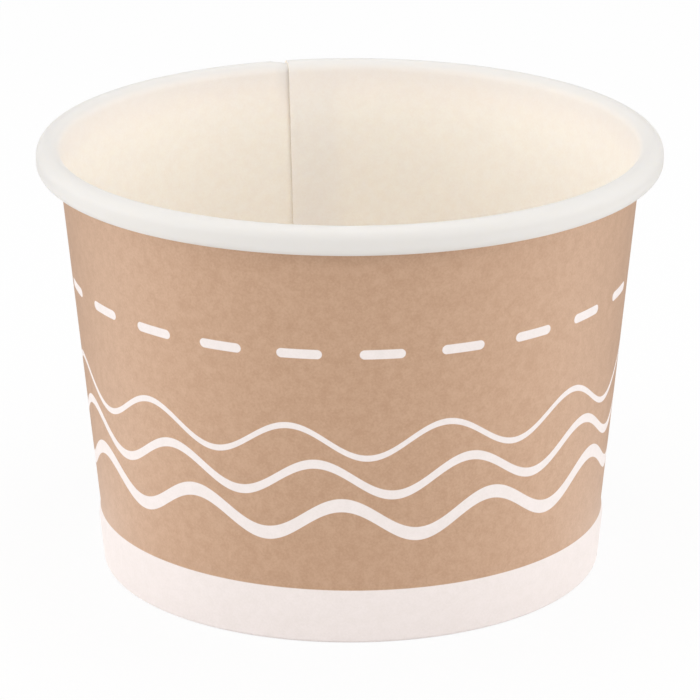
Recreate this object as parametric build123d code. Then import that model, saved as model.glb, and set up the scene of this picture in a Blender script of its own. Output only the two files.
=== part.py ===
from build123d import *
import os
from math import asin, atan2, cos, degrees, hypot, radians, sin, tan

# Paper soup cup of two boards: a sidewall wrapped from one flat blank, and a drawn base.
# Millimetres, +Z up, origin on the cup's axis in the plane it stands on. Front is -Y.

# Cup as a whole
rim_diameter = 98.0      # over the rolled rim
height = 69.0            # standing plane to the top of the rim
base_diameter = 79.3     # over the wall, run on down to the standing plane

# Sidewall board and its side seam
wall_board = 0.45
seam_angle = 104.7       # where the inner ply's raw edge stands, left of the back
seam_lap = 7.0           # width of the overlap at the standing plane
seam_climb = 2.2         # width over which the outer ply climbs onto the inner one
seam_foot = 1.6          # height at which the trimmed corner of the outer ply begins

# Rolled rim
curl_width = 3.8
curl_height = 4.35
under_turn = 150.0       # of the roll's lower bend, which ends in the blank's raw edge
curl_gap = 0.28          # between that edge and the doubled wall at the seam

# Base board and the fold that holds its skirt
base_board = 0.4
base_height = 7.8        # standing plane to the upper face of the base
skirt_end = 0.6          # height of the skirt's lower edge
seal = 0.05              # coating film on each side of the skirt
strip_top = 5.9          # height of the edge that is turned up inside the skirt
shoulder_turn = 12.0     # lean of the shoulder where the wall comes in above the base

# Wall slope: from the foot, the food side runs up and grazes the circle of the rim's roll
skirt_push = base_board + seal
pocket = skirt_push + seal
foot_inner = base_diameter / 2 - skirt_push - wall_board
roll_radius = curl_width / 2
roll_x = rim_diameter / 2 - roll_radius
roll_z = height - roll_radius
slope = degrees(
    atan2(roll_z, roll_x - foot_inner) + asin(roll_radius / hypot(roll_z, roll_x - foot_inner))
)
rise, reach = sin(radians(slope)), cos(radians(slope))

# Shoulder that brings the wall in above the base
shoulder_start = base_height - base_board
shoulder_run = skirt_push / sin(radians(shoulder_turn))
shoulder_rise = shoulder_run * sin(radians(slope + shoulder_turn))


def wall_point(out, z):
    # Point at height z on a line parallel to the food side of the upper wall, `out` outside it.
    return Vector(foot_inner + out / rise + z / tan(radians(slope)), z)


def heading_vector(heading):
    return Vector(cos(radians(heading)), sin(radians(heading)))


# Lower bend of the roll: as wide as leaves the gap beside its raw edge
under_space = rim_diameter / 2 - curl_gap - wall_point(2 * wall_board, height - curl_height).X
under_end = heading_vector(under_turn)
under_radius = under_space / (1 - under_end.X + (1 - under_end.Y) / tan(radians(slope)))
roll_drop = curl_height - roll_radius - under_radius


def sheet_side(start, heading, moves, shift):
    # One side of a folded sheet, `shift` to the right of the path. A move is a run ("run", length),
    # a kink ("kink", turn) or a bend (radius, turn), with turns in degrees and positive to the
    # left. A kink is mitred on both sides. A bend whose radius comes to nothing is creased sharp.
    point = start
    corner = start + heading_vector(heading - 90) * shift
    edges = []
    for kind, amount in moves:
        ahead, right = heading_vector(heading), heading_vector(heading - 90)
        if kind == "run":
            point += ahead * amount
            edges.append(Line(corner, point + right * shift))
        elif kind == "kink":
            heading += amount
            mitre = (right + heading_vector(heading - 90)) * (shift / (1 + cos(radians(amount))))
            edges[-1] = Line(edges[-1] @ 0, point + mitre)
        else:
            heading += amount
            radius = kind + shift if amount > 0 else kind - shift
            if kind > 0:
                point = JernArc(point, ahead, kind, amount) @ 1
            if radius > 0:
                edges.append(JernArc(corner, ahead, radius, amount))
        corner = edges[-1] @ 1
    return edges


def sheet_section(start, heading, moves, near, far):
    # Upright section of the sheet between two distances to the right of the path.
    near_side = sheet_side(start, heading, moves, near)
    far_side = sheet_side(start, heading, moves, far)
    ends = [Line(near_side[0] @ 0, far_side[0] @ 0), Line(near_side[-1] @ 1, far_side[-1] @ 1)]
    return Rot(90, 0, 0) * make_face(near_side + far_side + ends)


def sweep_round(section, start_angle, arc):
    return revolve(Rot(0, 0, start_angle) * section, Axis.Z, arc)


def foot_moves():
    # Edge turned up inside the skirt, the fold under it, and the wall up to where the seam begins.
    # The sheet is creased sharp on the inside, so its outside bends have the board's radius.
    return [
        ("run", (strip_top - wall_board) / rise),
        (0, 180 - slope),
        ("run", pocket / rise),
        (0, slope),
        ("run", (seam_foot - wall_board) / rise),
    ]


def wall_moves():
    # Wall over the skirt, the shoulder, the cone, and the roll down to the raw edge under it.
    cone_start = shoulder_start + shoulder_rise
    roll_start = roll_z + roll_radius * reach
    return [
        ("run", (shoulder_start - seam_foot) / rise),
        ("kink", shoulder_turn),
        ("run", shoulder_run),
        ("kink", -shoulder_turn),
        ("run", (roll_start - cone_start) / rise),
        (roll_radius, -(slope + 90)),
        ("run", roll_drop),
        (under_radius, -under_turn),
    ]


def folded_section():
    start = wall_point(skirt_push - pocket, strip_top)
    return sheet_section(start, slope - 180, foot_moves() + wall_moves(), 0, wall_board)


def ply_section(near, far):
    return sheet_section(wall_point(skirt_push, seam_foot), slope, wall_moves(), near, far)


def seam_opening():
    # Outline round the wall and the roll above the seam's foot. It passes between the wall and
    # the turned-up edge, which it leaves whole.
    across = heading_vector(slope - 90)
    clear_x = rim_diameter / 2 + wall_board
    low = wall_point(skirt_push, seam_foot) - across * (pocket / 2)
    over_strip = wall_point(skirt_push - pocket / 2, (strip_top + shoulder_start) / 2)
    corners = [
        low,
        over_strip,
        wall_point(-wall_board, over_strip.Y),
        wall_point(-wall_board, height + wall_board),
        Vector(clear_x, height + wall_board),
        low + across * ((clear_x - low.X) / rise),
    ]
    return Rot(90, 0, 0) * make_face(Polyline(corners, close=True))


def make_sidewall():
    # The wall opens at the seam. One ply ends there in a raw edge; the other climbs by one board
    # and laps over it. The fold is whole all round, so that the foot stands flat.
    climb_angle = degrees(seam_climb / foot_inner)
    lap_angle = degrees(seam_lap / foot_inner)
    inner_ply = ply_section(0, wall_board)
    outer_ply = ply_section(wall_board, 2 * wall_board)
    wall = sweep_round(folded_section(), 0, 360)
    wall -= sweep_round(seam_opening(), seam_angle, climb_angle)
    climb = loft([Rot(0, 0, seam_angle + climb_angle) * inner_ply, Rot(0, 0, seam_angle) * outer_ply], ruled=True)
    lap = sweep_round(outer_ply, seam_angle, -lap_angle)
    return wall + climb + lap


def make_base():
    # Flat disc turned down all round into a skirt that follows the wall's slope.
    corner_z = base_height - base_board
    corner_x = wall_point(skirt_push - seal - base_board, corner_z).X
    skirt_run = (corner_z - base_board * reach - skirt_end) / rise
    moves = [("run", corner_x), (base_board, slope - 180), ("run", skirt_run)]
    return sweep_round(sheet_section(Vector(0, base_height), 0, moves, 0, base_board), 0, 360)


os.makedirs("parts", exist_ok=True)
for name, solid in (("sidewall", make_sidewall()), ("base_disc", make_base())):
    export_step(solid, f"parts/{name}.step")
    print(name, round(solid.volume, 1), "mm3")
print("wall slope", round(slope, 3), "degrees")
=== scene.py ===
from math import asin, atan2, cos, degrees, hypot, pi, radians, sin, tan

import bmesh
import bpy
from mathutils import Matrix, Vector


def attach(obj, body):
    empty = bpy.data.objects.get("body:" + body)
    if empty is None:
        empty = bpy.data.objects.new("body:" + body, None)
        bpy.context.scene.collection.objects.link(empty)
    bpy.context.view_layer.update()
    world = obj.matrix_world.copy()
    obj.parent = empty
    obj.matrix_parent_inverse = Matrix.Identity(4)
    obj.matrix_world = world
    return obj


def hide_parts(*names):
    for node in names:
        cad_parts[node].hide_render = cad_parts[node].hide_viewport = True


# Paper soup cup: a wrapped and rolled sidewall, and a drawn base held in its foot.
# Lengths in the dictionaries are millimetres and angles are degrees, unless a note says so.
# The cup stands on z = 0, and the front of the picture is -Y.

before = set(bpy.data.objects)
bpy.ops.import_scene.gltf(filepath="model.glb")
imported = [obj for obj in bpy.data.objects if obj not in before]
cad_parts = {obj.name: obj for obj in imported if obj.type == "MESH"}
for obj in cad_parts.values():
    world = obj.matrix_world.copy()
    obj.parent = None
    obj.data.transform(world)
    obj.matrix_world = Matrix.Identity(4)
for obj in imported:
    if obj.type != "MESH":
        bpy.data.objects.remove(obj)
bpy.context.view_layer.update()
mm = 0.001
perMetre = 1000.0             # millimetres in a metre


def linear(hexColour):
    # sRGB hex to the linear values that shader sockets take
    values = [int(hexColour[i:i + 2], 16) / 255 for i in (1, 3, 5)]
    return [v / 12.92 if v <= 0.04045 else ((v + 0.055) / 1.055) ** 2.4 for v in values] + [1.0]


def addNode(tree, kind, inputs, **settings):
    # one node with its settings; a socket takes a value, another node's first output or any output
    node = tree.nodes.new(kind)
    for name, value in settings.items():
        setattr(node, name, value)
    for socket, value in inputs.items():
        if isinstance(value, bpy.types.Node):
            value = value.outputs[0]
        if isinstance(value, bpy.types.NodeSocket):
            tree.links.new(value, node.inputs[socket])
        else:
            node.inputs[socket].default_value = value
    return node


def newMaterial(name):
    material = bpy.data.materials.new(name)
    material.use_nodes = True
    material.node_tree.nodes.clear()
    return material, material.node_tree


paper = {
    "fibre": 0.35,            # mm across a fibre clump in the surface
    "mottle": 1.6,            # mm across the cloudiness of the sheet
    "octaves": 3.0,           # of finer noise in both
    "fibreHarshness": 0.6,    # how strong each finer octave is
    "mottleHarshness": 0.5,
    "mottleShare": 0.42,      # of the cloudiness in the colour, with the fibres as the rest
    "grainFrom": 0.38,        # the noise runs from 0 to 1, but most of it lies between these
    "grainTo": 0.62,
    "fibreDepth": 0.006,      # mm
    "coated": "#FDF6EE",      # food side: a clay coat on bleached board, a warm white
    "coatedCloud": "#FAF1E8",
    "coatedRoughness": 0.5,
    "coatedShine": 0.4,       # level of the mirrored part, where 0.5 is plain plastic
    "coatedBump": 0.35,       # share of the fibre depth that shows
    "soak": (0.38, 0.36, 0.31),   # mm that red, green and blue light soak into the board
    "soakShare": 0.5,         # of the light that goes through the board
    "rolled": "#E3E0DC",      # painted shade: a greyer white over the whole roll, darkening it where the light from above falls strongly
    "rollFrom": 44.5,         # the painted shade sets in where the roll begins, between these radii
    "rollTo": 46.0,
    "bare": "#F3EAE7",        # outer side where nothing is printed
    "bareCloud": "#EEE5E1",
    "bareRoughness": 0.7,
    "outerShine": 0.6,
    "outerBump": 0.6,
    "ink": "#C8A386",
    "inkCloud": "#BC9678",
    "inkRoughness": 0.42,
    "edge": "#FAF3E8",        # cut board, where the core shows
    "edgeCloud": "#EFE5D5",
    "edgeRoughness": 0.9,
    "edgeShine": 0.2,
    "edgeBump": 1.0,
}

artwork = {
    "inkFrom": 8.92,          # height where the brown field starts
    "inkTilt": -0.005,        # that edge falls a little towards +X, in mm per mm
    "blur": 0.05,             # to each side of the ink's edges
    "wallRadius": 42.5,       # mean radius of the printed wall
    "waves": 11,              # crests round the cup
    "waveRise": 2.6,          # from a wave's middle to its crest
    "waveShift": 60.0,        # of the phase from each wave to the next one up
    "waveRows": [(20.6, 2.2), (27.4, 1.5), (33.6, 1.0)],   # height and stroke of each wave
    "dashes": 22,
    "dashHeight": 48.0,
    "dashHalf": 2.6,          # half the length of a dash, without its round ends
    "dashStroke": 1.5,
}


def paperGrain(tree, place):
    # fibre clumps, and the clumps with the cloudiness of the sheet, both as 0 to 1
    fibre = addNode(tree, "ShaderNodeTexNoise", {
        "Vector": place, "Scale": perMetre / paper["fibre"], "Detail": paper["octaves"],
        "Roughness": paper["fibreHarshness"]})
    mottle = addNode(tree, "ShaderNodeTexNoise", {
        "Vector": place, "Scale": perMetre / paper["mottle"], "Detail": paper["octaves"],
        "Roughness": paper["mottleHarshness"]})
    both = addNode(tree, "ShaderNodeMix", {
        "Factor": paper["mottleShare"], "A": fibre, "B": mottle}, data_type="FLOAT")
    return fibre, addNode(tree, "ShaderNodeMapRange", {
        "Value": both, "From Min": paper["grainFrom"], "From Max": paper["grainTo"]})


def inkMask(tree, place):
    # 1 where the brown ink lies. Each figure gives the mm to its outline, less than 0 inside it.
    x, y, z = addNode(tree, "ShaderNodeSeparateXYZ", {0: place}).outputs
    angle = addNode(tree, "ShaderNodeMath", {0: y, 1: x}, operation="ARCTAN2")
    level = addNode(tree, "ShaderNodeMath", {0: z, 1: perMetre}, operation="MULTIPLY")
    start = addNode(tree, "ShaderNodeMath", {
        0: x, 1: artwork["inkTilt"] * perMetre, 2: artwork["inkFrom"]}, operation="MULTIPLY_ADD")
    nearest = addNode(tree, "ShaderNodeMath", {0: level, 1: start}, operation="SUBTRACT")

    for number, (height, stroke) in enumerate(artwork["waveRows"]):
        phase = addNode(tree, "ShaderNodeMath", {
            0: angle, 1: float(artwork["waves"]), 2: number * radians(artwork["waveShift"])},
            operation="MULTIPLY_ADD")
        sine = addNode(tree, "ShaderNodeMath", {0: phase}, operation="SINE")
        crest = addNode(tree, "ShaderNodeMath", {
            0: sine, 1: artwork["waveRise"], 2: height}, operation="MULTIPLY_ADD")
        off = addNode(tree, "ShaderNodeMath", {0: level, 1: crest}, operation="SUBTRACT")
        away = addNode(tree, "ShaderNodeMath", {0: off}, operation="ABSOLUTE")
        wave = addNode(tree, "ShaderNodeMath", {0: away, 1: stroke / 2}, operation="SUBTRACT")
        nearest = addNode(tree, "ShaderNodeMath", {0: nearest, 1: wave}, operation="MINIMUM")

    # dashes with round ends, each in the middle of its cell
    cell = 2 * pi * artwork["wallRadius"] / artwork["dashes"]
    turns = addNode(tree, "ShaderNodeMath", {
        0: angle, 1: artwork["dashes"] / (2 * pi), 2: 0.5}, operation="MULTIPLY_ADD")
    share = addNode(tree, "ShaderNodeMath", {0: turns, 1: 1.0, 2: 0.0}, operation="WRAP")
    middle = addNode(tree, "ShaderNodeMath", {0: share, 1: cell, 2: -cell / 2}, operation="MULTIPLY_ADD")
    along = addNode(tree, "ShaderNodeMath", {0: middle}, operation="ABSOLUTE")
    past = addNode(tree, "ShaderNodeMath", {0: along, 1: artwork["dashHalf"]}, operation="SUBTRACT")
    beyond = addNode(tree, "ShaderNodeMath", {0: past, 1: 0.0}, operation="MAXIMUM")
    up = addNode(tree, "ShaderNodeMath", {0: level, 1: artwork["dashHeight"]}, operation="SUBTRACT")
    corner = addNode(tree, "ShaderNodeCombineXYZ", {0: beyond, 1: up})
    reach = addNode(tree, "ShaderNodeVectorMath", {0: corner}, operation="LENGTH").outputs["Value"]
    dash = addNode(tree, "ShaderNodeMath", {
        0: reach, 1: artwork["dashStroke"] / 2}, operation="SUBTRACT")
    nearest = addNode(tree, "ShaderNodeMath", {0: nearest, 1: dash}, operation="MINIMUM")

    return addNode(tree, "ShaderNodeMapRange", {
        "Value": nearest, "From Min": -artwork["blur"], "From Max": artwork["blur"]},
        interpolation_type="SMOOTHSTEP")


def coatedBoard():
    # bleached board with a clay coat on it: an even warm white, silky, with hardly a fibre to see,
    # lit a little from behind by what soaks through, and greyer over the rim's roll as painted shade
    material, tree = newMaterial("coatedCupBoard")
    place = addNode(tree, "ShaderNodeTexCoord", {}).outputs["Object"]
    fibre, grain = paperGrain(tree, place)
    colour = addNode(tree, "ShaderNodeMix", {
        "Factor": grain, "A": linear(paper["coatedCloud"]), "B": linear(paper["coated"])},
        data_type="RGBA")
    level = addNode(tree, "ShaderNodeVectorMath", {0: place, 1: (1, 1, 0)}, operation="MULTIPLY")
    radius = addNode(tree, "ShaderNodeVectorMath", {0: level}, operation="LENGTH").outputs["Value"]
    # painted shade: between these radii the food side fades to the greyer 'rolled' white over the roll
    rollShadeShare = addNode(tree, "ShaderNodeMapRange", {
        "Value": radius, "From Min": paper["rollFrom"] * mm, "From Max": paper["rollTo"] * mm},
        interpolation_type="SMOOTHSTEP")
    colour = addNode(tree, "ShaderNodeMix", {
        "Factor": rollShadeShare, "A": colour.outputs[2], "B": linear(paper["rolled"])}, data_type="RGBA")
    bump = addNode(tree, "ShaderNodeBump", {
        "Height": fibre, "Strength": paper["coatedBump"], "Distance": paper["fibreDepth"] * mm})
    board = addNode(tree, "ShaderNodeBsdfPrincipled", {
        "Base Color": colour.outputs[2], "Roughness": paper["coatedRoughness"],
        "Specular IOR Level": paper["coatedShine"], "Subsurface Weight": paper["soakShare"],
        "Subsurface Radius": paper["soak"], "Subsurface Scale": mm, "Normal": bump})
    addNode(tree, "ShaderNodeOutputMaterial", {"Surface": board})
    return material


def uncoatedBoard(name, printed):
    # the same board's uncoated side: matt white with fine fibres, and where it is offset printed,
    # one flat brown that dries to a satin film; its shine towards the cup's sides is partly that film's
    # gloss and partly a painted reflection of the brighter side glow that floor and room show to
    # reflections
    material, tree = newMaterial(name)
    place = addNode(tree, "ShaderNodeTexCoord", {}).outputs["Object"]
    fibre, grain = paperGrain(tree, place)
    colour = addNode(tree, "ShaderNodeMix", {
        "Factor": grain, "A": linear(paper["bareCloud"]), "B": linear(paper["bare"])}, data_type="RGBA")
    roughness = paper["bareRoughness"]
    if printed:
        ink = addNode(tree, "ShaderNodeMix", {
            "Factor": grain, "A": linear(paper["inkCloud"]), "B": linear(paper["ink"])},
            data_type="RGBA")
        mask = inkMask(tree, place)
        colour = addNode(tree, "ShaderNodeMix", {
            "Factor": mask, "A": colour.outputs[2], "B": ink.outputs[2]}, data_type="RGBA")
        roughness = addNode(tree, "ShaderNodeMix", {
            "Factor": mask, "A": paper["bareRoughness"], "B": paper["inkRoughness"]}, data_type="FLOAT")
    bump = addNode(tree, "ShaderNodeBump", {
        "Height": fibre, "Strength": paper["outerBump"], "Distance": paper["fibreDepth"] * mm})
    board = addNode(tree, "ShaderNodeBsdfPrincipled", {
        "Base Color": colour.outputs[2], "Roughness": roughness,
        "Specular IOR Level": paper["outerShine"], "Normal": bump})
    addNode(tree, "ShaderNodeOutputMaterial", {"Surface": board})
    return material


def cutEdge():
    # where a blade cut the board: a little darker than its faces, rough, with the fibres of the core
    material, tree = newMaterial("cutBoardEdge")
    place = addNode(tree, "ShaderNodeTexCoord", {}).outputs["Object"]
    fibre, grain = paperGrain(tree, place)
    colour = addNode(tree, "ShaderNodeMix", {
        "Factor": grain, "A": linear(paper["edgeCloud"]), "B": linear(paper["edge"])}, data_type="RGBA")
    bump = addNode(tree, "ShaderNodeBump", {
        "Height": fibre, "Strength": paper["edgeBump"], "Distance": paper["fibreDepth"] * mm})
    board = addNode(tree, "ShaderNodeBsdfPrincipled", {
        "Base Color": colour.outputs[2], "Roughness": paper["edgeRoughness"],
        "Specular IOR Level": paper["edgeShine"], "Normal": bump})
    addNode(tree, "ShaderNodeOutputMaterial", {"Surface": board})
    return material


foodSide = coatedBoard()
outside = uncoatedBoard("printedCupBoard", printed=True)
underside = uncoatedBoard("bareCupBoard", printed=False)
rawEdge = cutEdge()
print("materials made")


bends = {
    "step": 7.5,              # along a bend
    "roundSteps": 240,        # round the cup
    "lapSteps": 5,            # across the seam's lap
    "weld": 0.002,            # points this close are one
    "sharp": 35.0,            # an edge that turns by more than this isn't smoothed
}


def heading(angle):
    return Vector((cos(radians(angle)), 0, sin(radians(angle))))


def drawBoard(bm, start, angle, moves, part=0):
    # a pen along one face of the board, by runs, kinks and bends, with left turns positive.
    # Vertices keep the direction through the board, to their right, and edges keep their part.
    through = bm.verts.layers.float_vector["through"]
    parts = bm.edges.layers.int["part"]
    before = set(bm.edges)
    tip = start
    for kind, amount in moves:
        if kind == "kink":
            angle += amount
            across = heading(angle - 90) + heading(angle - amount - 90)
            tip[through] = across / (1 + cos(radians(amount)))
            continue
        if kind == "run":
            tip = bmesh.ops.extrude_vert_indiv(bm, verts=[tip])["verts"][0]
            tip.co += heading(angle) * amount * mm
            tip[through] = heading(angle - 90)
            continue
        side = 1 if amount > 0 else -1
        centre = tip.co + heading(angle + 90 * side) * kind * mm
        known = set(bm.verts)
        arc = bmesh.ops.spin(bm, geom=[tip], cent=centre, axis=(0, -1, 0), angle=radians(amount),
                             steps=max(2, round(abs(amount) / bends["step"])))
        tip = next(v for v in arc["geom_last"] if isinstance(v, bmesh.types.BMVert))
        for corner in set(bm.verts) - known:
            corner[through] = (corner.co - centre).normalized() * side
        angle += amount
    for edge in set(bm.edges) - before:
        edge[parts] = part
    return tip, angle


def newBoard(start):
    bm = bmesh.new()
    bm.verts.layers.float_vector.new("through")
    bm.edges.layers.int.new("part")
    return bm, bm.verts.new(start * mm)


def spinRound(bm, geometry, turn, steps):
    spun = bmesh.ops.spin(bm, geom=geometry, cent=(0, 0, 0), axis=(0, 0, 1),
                          angle=radians(turn), steps=steps)
    return spun["geom_last"]


def partOf(bm, geometry, part):
    parts = bm.edges.layers.int["part"]
    edges = [g for g in geometry if isinstance(g, bmesh.types.BMEdge) and g[parts] == part]
    return edges + list({v for e in edges for v in e.verts})


def thicken(bm, board):
    # gives the drawn face its board: drawn side 0, far side 1, cut edges 2
    bmesh.ops.remove_doubles(bm, verts=bm.verts, dist=bends["weld"] * mm)
    drawn = set(bm.faces)
    bmesh.ops.reverse_faces(bm, faces=list(drawn))
    grown = bmesh.ops.solidify(bm, geom=list(drawn), thickness=board * mm)
    far = {g for g in grown["geom"] if isinstance(g, bmesh.types.BMFace)} - drawn
    for face in bm.faces:
        face.smooth = True
        face.material_index = 0 if face in drawn else 1 if face in far else 2


def finishPiece(bm, name, node, materials):
    for edge in bm.edges:
        if len(edge.link_faces) == 2:
            edge.smooth = edge.calc_face_angle() < radians(bends["sharp"])
    mesh = bpy.data.meshes.new(name)
    bm.to_mesh(mesh)
    bm.free()
    piece = bpy.data.objects.new(name, mesh)
    bpy.context.scene.collection.objects.link(piece)
    for material in materials:
        mesh.materials.append(material)
    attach(piece, "root")
    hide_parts(node)


sidewall = {
    "rimWidth": 98.0,         # over the roll
    "height": 69.0,
    "baseWidth": 79.3,        # over the wall, run on down to the table
    "board": 0.45,
    "seamAngle": 104.7,       # where the inner ply's raw edge stands
    "seamLap": 7.0,
    "seamClimb": 2.2,
    "seamFoot": 1.6,          # the lap starts above the fold
    "glue": 0.015,            # film between the plies
    "curlWidth": 3.8,
    "curlHeight": 4.35,
    "curlTurn": 150.0,        # of the roll's lower bend, which ends in a raw edge
    "curlGap": 0.28,          # from that edge to the doubled wall
    "foldRadius": 0.2,        # inside the hem at the foot
    "pocket": 0.5,            # room in the hem for the base's skirt
    "stripTop": 5.9,          # of the edge that is turned up inside the skirt
    "skirtPush": 0.45,        # the base's skirt holds the wall out by this much
    "shoulderStart": 7.4,     # height from which the wall comes in again
    "shoulderTurn": 12.0,
}


def wallSlope(w):
    footInner = w["baseWidth"] / 2 - w["skirtPush"] - w["board"]
    rollZ = w["height"] - w["curlWidth"] / 2
    across = w["rimWidth"] / 2 - w["curlWidth"] / 2 - footInner
    return footInner, degrees(atan2(rollZ, across) + asin(w["curlWidth"] / 2 / hypot(rollZ, across)))


def wallPoint(w, out, z):
    # at height z, moved out through the board from the food side of the cone
    footInner, slope = wallSlope(w)
    return Vector((footInner + out / sin(radians(slope)) + z / tan(radians(slope)), 0, z))


def buildSidewall(w):
    footInner, slope = wallSlope(w)
    rise = sin(radians(slope))
    foldIn = w["foldRadius"] * tan(radians((180 - slope) / 2))
    foldOut = w["foldRadius"] * tan(radians(slope / 2))
    footMoves = [
        ("run", (w["stripTop"] - w["board"]) / rise - foldIn),
        (w["foldRadius"], 180 - slope),
        ("run", w["pocket"] / rise - foldIn - foldOut),
        (w["foldRadius"], slope),
        ("run", (w["seamFoot"] - w["board"]) / rise - foldOut),
    ]
    curlRadius = w["curlWidth"] / 2
    under = heading(w["curlTurn"])
    beside = wallPoint(w, 2 * w["board"], w["height"] - w["curlHeight"]).x
    space = w["rimWidth"] / 2 - w["curlGap"] - beside
    underRadius = space / (1 - under.x + (1 - under.z) / tan(radians(slope)))
    shoulderRun = w["skirtPush"] / sin(radians(w["shoulderTurn"]))
    coneStart = w["shoulderStart"] + shoulderRun * sin(radians(slope + w["shoulderTurn"]))
    rollStart = w["height"] - curlRadius + curlRadius * cos(radians(slope))
    wallMoves = [
        ("run", (w["shoulderStart"] - w["seamFoot"]) / rise),
        ("kink", w["shoulderTurn"]),
        ("run", shoulderRun),
        ("kink", -w["shoulderTurn"]),
        ("run", (rollStart - coneStart) / rise),
        (curlRadius, -(slope + 90)),
        ("run", w["curlHeight"] - curlRadius - underRadius),
        (underRadius, -w["curlTurn"]),
    ]
    bm, start = newBoard(wallPoint(w, w["skirtPush"] - w["pocket"], w["stripTop"]))
    tip, angle = drawBoard(bm, start, slope - 180, footMoves, part=0)
    drawBoard(bm, tip, angle, wallMoves, part=1)

    # round from the inner ply's raw edge; the fold closes, and the other ply climbs and laps
    turnTo = Matrix.Rotation(radians(w["seamAngle"]), 3, "Z")
    bmesh.ops.rotate(bm, verts=bm.verts, cent=(0, 0, 0), matrix=turnTo)
    climb, lap = degrees(w["seamClimb"] / footInner), degrees(w["seamLap"] / footInner)
    last = spinRound(bm, bm.verts[:] + bm.edges[:], climb - 360, bends["roundSteps"])
    spinRound(bm, partOf(bm, last, 0), -climb, 1)
    ply = spinRound(bm, partOf(bm, last, 1), -climb, 1)
    through = bm.verts.layers.float_vector["through"]
    for corner in [g for g in ply if isinstance(g, bmesh.types.BMVert)]:
        corner.co += turnTo @ corner[through] * (w["board"] + w["glue"]) * mm
    spinRound(bm, ply, -lap, bends["lapSteps"])
    thicken(bm, w["board"])
    finishPiece(bm, "cupWall", "sidewall", [foodSide, outside, rawEdge])


buildSidewall(sidewall)
print("sidewall drawn, rolled and lapped")


base = {
    "board": 0.4,
    "height": 7.8,            # of the face that the soup lies on
    "corner": 0.6,            # radius where the skirt turns down
    "skirtEnd": 0.6,          # height of the skirt's lower edge
    "seal": 0.05,             # coating film between the skirt and the wall
}


def buildBase(b, w):
    _, slope = wallSlope(w)
    rise = sin(radians(slope))
    cornerZ = b["height"] - b["corner"]
    skirtX = wallPoint(w, w["skirtPush"] - b["seal"], cornerZ).x
    skirtRun = (cornerZ - b["corner"] * cos(radians(slope)) - b["skirtEnd"]) / rise
    moves = [
        ("run", skirtX - b["corner"] / rise),
        (b["corner"], slope - 180),
        ("run", skirtRun),
    ]
    bm, start = newBoard(Vector((0, 0, b["height"])))
    drawBoard(bm, start, 0, moves)
    bmesh.ops.spin(bm, geom=bm.verts[:] + bm.edges[:], cent=(0, 0, 0), axis=(0, 0, 1), angle=-2 * pi,
                   steps=bends["roundSteps"], use_merge=True)
    thicken(bm, b["board"])
    finishPiece(bm, "cupBase", "base_disc", [foodSide, underside, rawEdge])


buildBase(base, sidewall)
print("base drawn")


studio = {
    "floorWidth": 4000.0,
    "floor": "#F4F4F4",
    "floorGlow": 0.9,         # share of glow, not lit sheet, that camera and reflections see of it
    "roomLevel": 0.6,         # what the room gives to the cup, where 1 is white
    "mirroredFront": 0.3,     # what reflections see of room and floor in front and behind
    "mirroredSides": 1.65,    # and at either side: painted reflections, where floor and room glow brighter for reflections alone, with no reflector or lamp there
    "mirroredBack": 0.7,      # how far behind the side these end, as a sine
    "boxes": {                # turn from the front, distance out, height, width, length, watts
        "softBoxLeft": (-62.0, 1500.0, 330.0, 820.0, 600.0, 5.6),
        "softBoxRight": (62.0, 1500.0, 330.0, 820.0, 600.0, 4.9),
        "softBoxFarLeft": (-98.0, 1500.0, 330.0, 1090.0, 600.0, 2.8),
        "softBoxFarRight": (98.0, 1500.0, 330.0, 1090.0, 600.0, 2.8),
        "softBoxTop": (0.0, 0.0, 650.0, 500.0, 500.0, 1.2),
        "softBoxFront": (0.0, 400.0, 560.0, 400.0, 400.0, 0.4),
        "softBoxBack": (180.0, 450.0, 450.0, 400.0, 400.0, 0.3),
    },
}

camera = {
    "place": (20.9, -645.7, 255.1),
    "pitch": 18.909,          # down from level
    "yaw": 1.859,
    "roll": -0.16,
    "focal": 221.04,
    "sensor": 36.0,           # width
}


def seenDirectly(tree):
    # 1 for rays from the camera, in reflections and through glass
    rays = addNode(tree, "ShaderNodeLightPath", {}).outputs
    either = addNode(tree, "ShaderNodeMath", {
        0: rays["Is Camera Ray"], 1: rays["Is Glossy Ray"]}, operation="MAXIMUM")
    return addNode(tree, "ShaderNodeMath", {
        0: either, 1: rays["Is Transmission Ray"]}, operation="MAXIMUM")


def seenLevel(tree, s, place):
    # white for the camera; reflections see a brighter level at either side than in front and
    # behind, by the place on the floor or the direction in the room, from the cup's axis
    level = addNode(tree, "ShaderNodeVectorMath", {0: place, 1: (1, 1, 0)}, operation="MULTIPLY")
    towards = addNode(tree, "ShaderNodeVectorMath", {0: level}, operation="NORMALIZE")
    across, back, _ = addNode(tree, "ShaderNodeSeparateXYZ", {0: towards}).outputs
    sideways = addNode(tree, "ShaderNodeMath", {0: across, 1: across}, operation="MULTIPLY")
    fade = addNode(tree, "ShaderNodeMapRange", {
        "Value": back, "From Max": s["mirroredBack"], "To Min": 1.0, "To Max": 0.0})
    share = addNode(tree, "ShaderNodeMath", {0: sideways, 1: fade}, operation="MULTIPLY")
    # painted reflections: the glow that reflections see rises at the cup's sides, a painted sheen with
    # no lamp behind it
    mirrored = addNode(tree, "ShaderNodeMix", {
        "Factor": share, "A": s["mirroredFront"], "B": s["mirroredSides"]}, data_type="FLOAT")
    rays = addNode(tree, "ShaderNodeLightPath", {}).outputs
    return addNode(tree, "ShaderNodeMix", {
        "Factor": rays["Is Glossy Ray"], "A": 1.0, "B": mirrored}, data_type="FLOAT")


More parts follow.
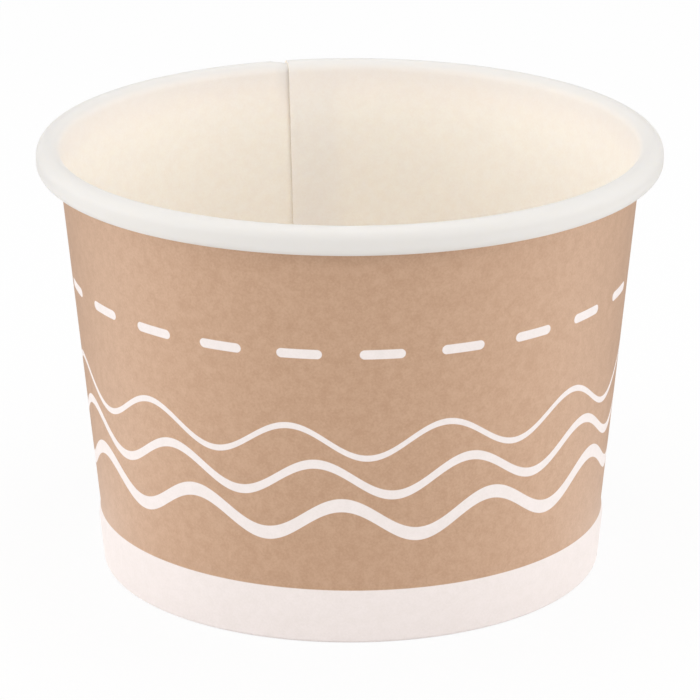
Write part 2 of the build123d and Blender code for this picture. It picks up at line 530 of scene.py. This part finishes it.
def buildFloor(s):
    bm = bmesh.new()
    bmesh.ops.create_grid(bm, x_segments=1, y_segments=1, size=s["floorWidth"] / 2 * mm)
    mesh = bpy.data.meshes.new("floor")
    bm.to_mesh(mesh)
    bm.free()
    floor = bpy.data.objects.new("floor", mesh)
    bpy.context.scene.collection.objects.link(floor)
    material, tree = newMaterial("whitePaperSweep")
    share = addNode(tree, "ShaderNodeMath", {
        0: seenDirectly(tree), 1: s["floorGlow"]}, operation="MULTIPLY")
    sheet = addNode(tree, "ShaderNodeBsdfDiffuse", {"Color": linear(s["floor"])})
    place = addNode(tree, "ShaderNodeTexCoord", {}).outputs["Object"]
    bright = addNode(tree, "ShaderNodeEmission", {
        "Color": (1, 1, 1, 1), "Strength": seenLevel(tree, s, place)})
    both = addNode(tree, "ShaderNodeMixShader", {0: share, 1: sheet, 2: bright})
    addNode(tree, "ShaderNodeOutputMaterial", {"Surface": both})
    mesh.materials.append(material)


def buildRoom(s):
    world = bpy.data.worlds.new("paleRoom")
    world.use_nodes = True
    tree = world.node_tree
    tree.nodes.clear()
    direction = addNode(tree, "ShaderNodeTexCoord", {}).outputs["Generated"]
    strength = addNode(tree, "ShaderNodeMix", {
        "Factor": seenDirectly(tree), "A": s["roomLevel"], "B": seenLevel(tree, s, direction)},
        data_type="FLOAT")
    air = addNode(tree, "ShaderNodeBackground", {"Color": (1, 1, 1, 1), "Strength": strength})
    addNode(tree, "ShaderNodeOutputWorld", {"Surface": air})
    bpy.context.scene.world = world


def addSoftBox(name, turn, out, height, width, length, watts):
    lamp = bpy.data.lights.new(name, "AREA")
    lamp.shape, lamp.energy = "RECTANGLE", watts
    lamp.size, lamp.size_y = width * mm, length * mm
    box = bpy.data.objects.new(name, lamp)
    bpy.context.scene.collection.objects.link(box)
    box.location = Vector((out * sin(radians(turn)), -out * cos(radians(turn)), height)) * mm
    aim = Vector((0, 0, sidewall["height"] / 2)) * mm
    box.rotation_euler = (aim - box.location).to_track_quat("-Z", "Y").to_euler()


def buildCamera(c):
    data = bpy.data.cameras.new("camera")
    data.lens, data.sensor_width = c["focal"], c["sensor"]
    eye = bpy.data.objects.new("camera", data)
    bpy.context.scene.collection.objects.link(eye)
    place = Matrix.Translation(Vector(c["place"]) * mm)
    turn = Matrix.Rotation(radians(c["yaw"]), 4, "Z") @ Matrix.Rotation(radians(90 - c["pitch"]), 4, "X")
    eye.matrix_world = place @ turn @ Matrix.Rotation(radians(c["roll"]), 4, "Z")
    bpy.context.scene.camera = eye


buildFloor(studio)
buildRoom(studio)
for name, values in studio["boxes"].items():
    addSoftBox(name, *values)
buildCamera(camera)
bpy.context.scene.view_settings.view_transform = "Standard"
print("studio set")
